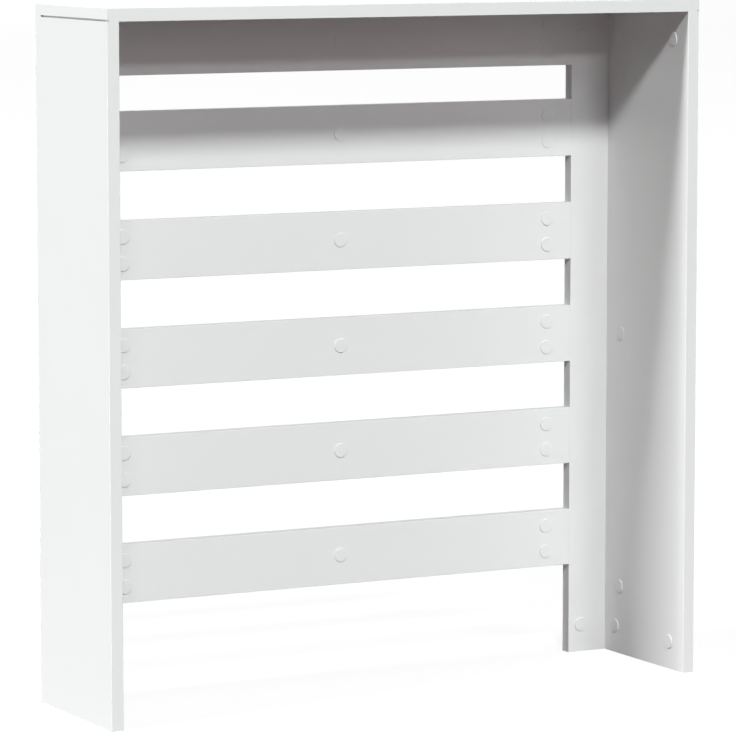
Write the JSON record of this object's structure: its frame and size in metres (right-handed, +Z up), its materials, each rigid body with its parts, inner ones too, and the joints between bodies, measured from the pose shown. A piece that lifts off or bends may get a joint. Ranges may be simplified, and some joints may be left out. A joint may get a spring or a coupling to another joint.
{
  "type": "radiator cover cabinet",
  "caption": "White slatted radiator cover that stands over a radiator, with a flat shelf top, board sides, an open back and gaps between its front slats.",
  "frame": {"origin": "middle of the footprint, on the floor", "axes": "+Z up, -Y towards the room (the slatted front), +Y towards the wall (the open back), +X to the right as seen from the room"},
  "size_m": [0.78, 0.2, 0.821],
  "materials": {
    "white_board": "particle board faced and edged in smooth white melamine, satin",
    "white_plastic": "white moulded plastic",
    "zinc": "zinc die casting, dull",
    "bright_steel": "bright zinc-plated steel"
  },
  "bodies": {
    "root": {"bore_plugs_sides": "white_plastic", "bore_plugs_slats": "white_plastic", "bore_plugs_stiles": "white_plastic", "cam_bolts_frame_left": "bright_steel", "cam_bolts_frame_right": "bright_steel", "cam_bolts_side_left": "bright_steel", "cam_bolts_side_right": "bright_steel", "cam_bolts_top_front": "bright_steel", "cam_caps_frame_left": "white_plastic", "cam_caps_frame_right": "white_plastic", "cam_caps_side_left": "white_plastic", "cam_caps_side_right": "white_plastic", "cam_caps_top_front": "white_plastic", "cam_locks_frame_left": "zinc", "cam_locks_frame_right": "zinc", "cam_locks_side_left": "zinc", "cam_locks_side_right": "zinc", "cam_locks_top_front": "zinc", "side_panel_left": "white_board", "side_panel_right": "white_board", "slat_1": "white_board", "slat_2": "white_board", "slat_3": "white_board", "slat_4": "white_board", "slat_5": "white_board", "stile_left": "white_board", "stile_right": "white_board", "top_panel": "white_board", "top_rail": "white_board"}
  },
  "joints": []
}
